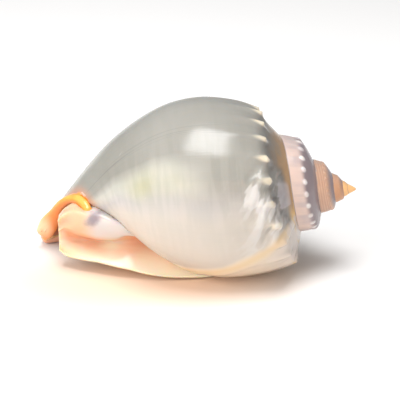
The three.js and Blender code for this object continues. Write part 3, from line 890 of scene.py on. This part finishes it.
# Painted highlight: the large left light's reflection on the gloss
HIGHLIGHT_CREAM = (0.48, 0.47, 0.40, 1)
YELLOW = (0.43, 0.42, 0.29, 1)
COLUMN_TONE = (0.87, 0.885, 0.87, 1)
LEFT_TONE = (0.88, 0.88, 0.86, 1)
SCRATCH_TONE = (0.80, 0.81, 0.84, 1)
WAVER = 30.0  # degrees of growth by which a stage's edges waver

wavy = calc("MULTIPLY_ADD", calc("SUBTRACT", streaky(3, 5, 2), 0.5), WAVER, growth)
body = colour_line(wavy, [(-60, PINKISH_CREAM), (88, PINKISH_CREAM), (104, REFLECTION_EDGE_LAVENDER), (116, CREAM),
                          (124, CREAM), (138, GREY), (190, GREY), (215, SOFT_CREAM), (240, GREY),
                          (275, SOFT_CREAM), (310, PINKISH_CREAM)])
rear = rest(ramp(across, 0.38, 0.56))
body = blend(times(ramp(growth, 95, 115), 0.8, rear), body, GREY)
# The yellow patch is partly the shell's own colour and partly a painted reflection of the large left light,
# and the bright patch is a painted highlight
yellow_and_reflection_share = times(bell(wavy, 116, 12), bell(across, 0.625, 0.065), 0.9)
body = blend(yellow_and_reflection_share, body, YELLOW)
highlight_share = times(bell(wavy, 116, 11), bell(across, 0.515, 0.06))
body = blend(highlight_share, body, HIGHLIGHT_CREAM)

# Faint columns and bands, a duller left end, and fine scratches over the patches
columns = ramp(streaky(10, 34, 3), 0.38, 0.62)
column_place = times(bell(growth, 118, 28), ramp(across, 0.2, 0.32))
body = tint(times(columns, calc("MULTIPLY_ADD", column_place, 0.55, 0.15)), body, COLUMN_TONE)
left_share = times(ramp(across, 0.52, 0.75), ramp(growth, 112, 130))
body = tint(left_share, body, LEFT_TONE)
scratches = ramp(streaky(260, 2.2, 3, 0.6), 0.5, 0.62)
scratch_place = calc("MULTIPLY_ADD", bell(growth, 151, 4), 0.8, 0.06)
body = tint(times(scratches, scratch_place), body, SCRATCH_TONE)

# The shoulder: painted shade, dappled, on the concave ramp and between the nodules, gold and ochre along the
# suture, and painted highlights in cream on the nodules' crests
PAINTED_SHADE_GREY = (0.13, 0.125, 0.12, 1)
GOLD_SUTURE = (0.62, 0.42, 0.18, 1)
OCHRE = (0.36, 0.235, 0.13, 1)
NODULE_HIGHLIGHT_CREAM = (0.66, 0.60, 0.48, 1)

# Painted shade, dappled, on the concave ramp behind the shoulder
ramp_shade_share = rest(ramp(across, 0.13, 0.22))
dapple = ramp(streaky(14, 12, 3), 0.35, 0.65)
body = blend(times(ramp_shade_share, calc("MULTIPLY_ADD", dapple, 0.4, 0.55)), body, PAINTED_SHADE_GREY)
suture_share = rest(ramp(across, 0.03, 0.075))
body = blend(suture_share, body, blend(ramp(growth, 80, 95), GOLD_SUTURE, OCHRE))
wide_ochre = times(ramp(growth, 122, 138), ramp(across, 0.16, 0.06))
body = blend(times(wide_ochre, calc("MULTIPLY_ADD", dapple, 0.6, 0.2)), body, OCHRE)
faded = calc("MULTIPLY_ADD", ramp(streaky(9, 4, 2), 0.3, 0.6), 0.6, 0.4)
# Painted highlights in cream on the nodules' crests
body = blend(times(ramp(value_of("nodule"), 0.2, 0.6), faded), body, NODULE_HIGHLIGHT_CREAM)

# Painted highlights in silver on the folds where the near side is crumpled, painted shade in its furrows, a
# painted reflection of a light as a silver wedge, and the broken flake
SILVER_HIGHLIGHT = (0.62, 0.61, 0.60, 1)
BROKEN = (0.46, 0.43, 0.46, 1)

near_side = times(ramp(growth, 52, 64), rest(ramp(growth, 104, 122)))
folds = fold_noise(growth, across)
# Painted highlights in silver on the fold crests, and painted shade in the furrows
silver_highlights = times(ramp(folds, 0.5, 0.58), near_side, bell(across, 0.23, 0.08))
body = blend(times(silver_highlights, 0.8), body, SILVER_HIGHLIGHT)
furrow_shade = times(ramp(folds, 0.47, 0.36), near_side, bell(across, 0.18, 0.08))
body = blend(times(furrow_shade, 0.5), body, PAINTED_SHADE_GREY)
# A painted reflection of a light, in silver, as a wedge beside the shoulder
wedge_reflection = times(bell(growth, 107, 10), bell(across, 0.265, 0.04))
wedge_reflection = calc("MULTIPLY_ADD", calc("SUBTRACT", folds, 0.5), 2.2, wedge_reflection)
body = blend(times(ramp(wedge_reflection, 0.5, 0.72), 0.7), body, SILVER_HIGHLIGHT)
body = blend(times(ramp(value_of("broken"), 0.02, 0.25), 0.5), body, BROKEN)

# The parietal glaze: pale, with gold behind its edge, partly its own colour and partly a painted warm
# inter-reflection, and gold in streaks near the suture
GLAZE_PALE = (0.56, 0.50, 0.46, 1)
GLAZE_YELLOW = (0.62, 0.47, 0.28, 1)
LIP_CREAM = (0.80, 0.69, 0.54, 1)

glaze_depth = calc("SUBTRACT", calc("MULTIPLY_ADD", across, -GLAZE_SLOPE, GLAZE_START), growth)
glaze_colour = blend(ramp(across, 0.1, 0.45), GLAZE_PALE, LIP_CREAM)
# The gold behind the glaze's edge is partly its own colour and partly a painted warm inter-reflection
gold_edge_and_glow = times(bell(glaze_depth, 4.0, 4.5), 0.75)
gold_streaks = times(ramp(streaky(5, 16, 3), 0.5, 0.64), ramp(across, 0.36, 0.1))
gold_share = times(calc("MAXIMUM", gold_edge_and_glow, gold_streaks), ramp(across, 0.66, 0.5))
glaze_colour = blend(gold_share, glaze_colour, GLAZE_YELLOW)
body = blend(value_of("glazed"), body, glaze_colour)

# The penultimate whorl: pink with mauve streaks, lavender above a row of white beads
PINK = (0.74, 0.57, 0.49, 1)
LAVENDER = (0.25, 0.205, 0.22, 1)
MAUVE = (0.52, 0.43, 0.42, 1)
WHITE = (0.74, 0.70, 0.70, 1)

mauve_streaks = calc("MULTIPLY_ADD", ramp(streaky(30, 1.5, 3), 0.38, 0.62), 0.6, 0.4)
mauve = times(ramp(across, 0.4, 0.27), mauve_streaks)
penult = blend(ramp(across, 0.175, 0.25), LAVENDER, blend(mauve, PINK, MAUVE))
bead_share = calc("MULTIPLY_ADD", ramp(streaky(24, 1, 1), 0.35, 0.6), 0.45, 0.5)
penult = blend(times(ramp(value_of("bead"), 0.05, 0.6), bead_share), penult, WHITE)

# The oldest whorls: tan with darker rings between the threads, then brown, and an orange tip
TAN = (0.56, 0.36, 0.26, 1)
RING_TONE = (0.86, 0.82, 0.82, 1)
BROWN = (0.54, 0.28, 0.15, 1)
TIP = (0.80, 0.48, 0.22, 1)

ringed = calc("MULTIPLY_ADD", calc("COSINE", times(across, math.tau / THREAD_SPACING)), 0.5, 0.5)
older_tan = blend(ramp(across, 0.08, 0.2), LAVENDER, tint(ringed, TAN, RING_TONE))
oldest = blend(ramp(growth, -1040, -860), BROWN, older_tan)
oldest = blend(ramp(growth, -1330, -1180), TIP, oldest)
spire = blend(ramp(growth, -560, -430), oldest, penult)
outside = blend(ramp(growth, -80, -30), spire, body)

# The inner lip: peach in the hollow below the fold, partly its own colour and partly painted shade, cream at
# the free edge, and a painted yellowish highlight in gold at the left corner
PEACH = (0.68, 0.25, 0.11, 1)
FOLD_PEACH = (0.72, 0.50, 0.33, 1)
PLATE_CREAM = (0.84, 0.77, 0.62, 1)
CORNER_HIGHLIGHT_GOLD = (0.78, 0.55, 0.30, 1)

streak_place = node("ShaderNodeMapping", {"Vector": place, "Scale": (50, 160, 160)}).outputs[0]
streaks = ramp(noise(streak_place, 1.0, 3), 0.4, 0.7)
# The peach in the hollow under the fold is partly its own colour and partly painted shade
hollow_peach_and_shade = times(bell(across, 0.65, 0.105), calc("MULTIPLY_ADD", streaks, 0.3, 0.7))
hollow_peach_and_shade = times(hollow_peach_and_shade, ramp(x_place, -0.0405, -0.0375))
hollow_peach_and_shade = times(hollow_peach_and_shade, calc("MULTIPLY_ADD", bell(x_place, -0.0245, 0.0035), -0.8, 1.0))
lip_skin = blend(hollow_peach_and_shade, blend(ramp(across, 0.5, 0.72), FOLD_PEACH, LIP_CREAM), PEACH)
lip_skin = blend(times(streaks, 0.14), lip_skin, PEACH)
lip_skin = blend(times(ramp(across, 0.76, 0.88), 0.7), lip_skin, PLATE_CREAM)
# A painted yellowish highlight in gold on the lip's front corner
corner_highlight_share = times(ramp(x_place, -0.032, -0.038), ramp(across, 0.74, 0.84))
lip_skin = blend(times(corner_highlight_share, 0.5), lip_skin, CORNER_HIGHLIGHT_GOLD)

# Its white fold with a grey spot, and its plain underside
LOBE_WHITE = (0.60, 0.575, 0.57, 1)
LOBE_GREY = (0.30, 0.26, 0.29, 1)
SPOT_AT = (-0.0290, -0.0110, 0.0190)
SPOT_SIZE = (0.0055, 0.0045, 0.0026)

fold_share = times(ramp(x_place, -0.034, -0.028), ramp(across, 0.6, 0.5))
lip_skin = blend(fold_share, lip_skin, LOBE_WHITE)
lip_skin = blend(ramp(across, 0.16, 0.1), lip_skin, PEACH)
lip_skin = blend(ramp(facing, -0.8, -0.93), lip_skin, LIP_CREAM)
spot_place = node("ShaderNodeMapping", {"Vector": place, "Location": SPOT_AT, "Scale": SPOT_SIZE,
                                        "Rotation": (0, -math.pi / 4, 0)}, vector_type="TEXTURE")
spot = node("ShaderNodeVectorMath", {0: spot_place.outputs[0]}, operation="LENGTH").outputs["Value"]
ragged = calc("SUBTRACT", noise(place, 400, 2), 0.5)
spot_share = ramp(calc("MULTIPLY_ADD", ragged, 0.8, spot), 1.0, 0.1)
lip_skin = blend(spot_share, lip_skin, LOBE_GREY)
callus = ramp(value_of("callus"), 0.3, 0.9)
outside = blend(callus, outside, lip_skin)

# The mouth's red-brown inside, and the outer lip, whose front end is painted rosy like the pink shadow
# under the notch's tip
INSIDE = (0.50, 0.17, 0.09, 1)
LIP_END_SHADOW_PINK = (0.74, 0.40, 0.28, 1)

outside = blend(ramp(value_of("inside"), 0.3, 0.7), outside, INSIDE)
# The outer lip's front end is painted rosy like the pink shadow under the ribbon's tip
lip_colour = blend(ramp(x_place, -0.044, -0.030), LIP_END_SHADOW_PINK, LIP_CREAM)
outside = blend(ramp(value_of("lip"), 0.3, 0.9), outside, lip_colour)

# The notch's rim: orange on its sides, painted lighter gold where it faces up, and a painted highlight in
# cream at its tip
ORANGE = (0.80, 0.22, 0.03, 1)
TOP_LIT_GOLD = (0.86, 0.44, 0.10, 1)
TIP_HIGHLIGHT_CREAM = (0.86, 0.66, 0.42, 1)

rim = value_of("rim")
outside = blend(times(ramp(rim, 0.0, 0.5), 0.4), outside, PEACH)
# Painted light: the rim is lighter gold where it faces up
rim_colour = blend(ramp(facing, -0.1, 0.9), ORANGE, TOP_LIT_GOLD)
rim_colour = blend(times(ramp(noise(place, 260, 2), 0.45, 0.7), 0.5), rim_colour, ORANGE)
# A painted highlight in cream on the far tip
far_tip_highlight = times(ramp(x_place, -0.0425, -0.0458), bell(z_place, 0.0078, 0.0042))
rim_colour = blend(times(far_tip_highlight, 0.75), rim_colour, TIP_HIGHLIGHT_CREAM)
outside = blend(ramp(rim, 0.5, 0.9), outside, rim_colour)

bump = node("ShaderNodeBump", {"Height": streaky(400, 12, 3, 0.6), "Strength": 0.25, "Distance": 0.0001})
surface = node("ShaderNodeBsdfPrincipled",
               {"Base Color": outside, "Roughness": 0.2, "IOR": 1.53, "Normal": bump.outputs[0],
                "Subsurface Weight": calc("MULTIPLY_ADD", callus, 0.6, 0.12),
                "Subsurface Radius": (0.004, 0.0018, 0.0009), "Subsurface Scale": 1.0})
node("ShaderNodeOutputMaterial", {"Surface": surface.outputs[0]})
shell.data.materials.clear()
shell.data.materials.append(glaze)
for face in shell.data.polygons:
    face.material_index = 0

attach(shell, "root")
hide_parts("shell")

# The studio
# A plain white floor under a small soft box straight above, with a large one to the left and a warm one
# in front. A warm glow from the shell is painted on the floor before it.

PAPER_WHITE = (0.85, 0.85, 0.85, 1)
PAINTED_WARM_GLOW = (0.85, 0.64, 0.50, 1)
FLOOR_REACH = 3

corners = [(x * FLOOR_REACH, y * FLOOR_REACH, 0) for x, y in ((-1, -1), (1, -1), (1, 1), (-1, 1))]
floor = mesh_object("floor", corners, [(0, 1, 2, 3)])
paper = bpy.data.materials.new("white paper")
paper.use_nodes = True
paper_finish = paper.node_tree.nodes["Principled BSDF"]
tree = paper.node_tree
# A painted warm glow on the floor before the shell
glow_place = node("ShaderNodeMapping", {"Vector": node("ShaderNodeTexCoord").outputs["Object"],
                                        "Location": (0.36, 0.56, 0), "Scale": (20, 36, 1)})
glow_away = node("ShaderNodeVectorMath", {0: glow_place.outputs[0]}, operation="LENGTH").outputs["Value"]
tree.links.new(blend(ramp(glow_away, 1.3, 0.2), PAPER_WHITE, PAINTED_WARM_GLOW), paper_finish.inputs["Base Color"])
paper_finish.inputs["Roughness"].default_value = 0.8
floor.data.materials.append(paper)

LIT = Vector((0, 0, 0.03))  # the middle of the shell, which the soft boxes face


def soft_box(name, place, size, power):
    """A soft box that faces the shell. Its power is in watts."""
    light = bpy.data.lights.new(name, "AREA")
    light.shape = "RECTANGLE"
    light.size, light.size_y = size
    light.energy = power
    made = bpy.data.objects.new(name, light)
    made.location = place
    made.rotation_euler = (LIT - Vector(place)).to_track_quat("-Z", "Y").to_euler()
    bpy.context.scene.collection.objects.link(made)
    return made


soft_box("top soft box", (-0.02, -0.08, 0.65), (0.36, 0.4), 4.2)
left = soft_box("left soft box", (-1.3, -0.5, 0.7), (1.8, 1.2), 24)
left.visible_glossy = False
warm = soft_box("front soft box", (0.0, -1.3, 0.35), (2.2, 0.6), 8)
warm.data.color = (1, 0.78, 0.6)

world = bpy.data.worlds.new("surroundings")
bpy.context.scene.world = world
world.use_nodes = True
surroundings = world.node_tree.nodes["Background"]
surroundings.inputs["Color"].default_value = (1, 1, 1, 1)
surroundings.inputs["Strength"].default_value = 0.27
bpy.context.scene.view_settings.view_transform = "Standard"

# The camera
# A long lens, 45 cm from the shell and 22 degrees above the ground, as the photo was taken. It is shifted
# so that the coiling axis lies where the photo shows it.

PICTURE_SIDE = 400  # pixels
AXIS_PIXEL = (195.3, 189)
CAMERA_AWAY = 0.45
CAMERA_TILT = math.radians(22)

camera_data = bpy.data.cameras.new("camera")
camera_data.lens = 135
camera_data.sensor_width = 36
camera_data.shift_x = (PICTURE_SIDE / 2 - AXIS_PIXEL[0]) / PICTURE_SIDE
camera_data.shift_y = (AXIS_PIXEL[1] - PICTURE_SIDE / 2) / PICTURE_SIDE
camera_data.clip_end = 10
camera = bpy.data.objects.new("camera", camera_data)
bpy.context.scene.collection.objects.link(camera)
aim = Vector(((np.array(TO_FRAME) + (0, AXIS_Y, AXIS_Z)) * MILLIMETRE).tolist())
camera.location = aim + CAMERA_AWAY * Vector((0, -math.cos(CAMERA_TILT), math.sin(CAMERA_TILT)))
camera.rotation_euler = (aim - camera.location).to_track_quat("-Z", "Y").to_euler()
bpy.context.scene.camera = camera

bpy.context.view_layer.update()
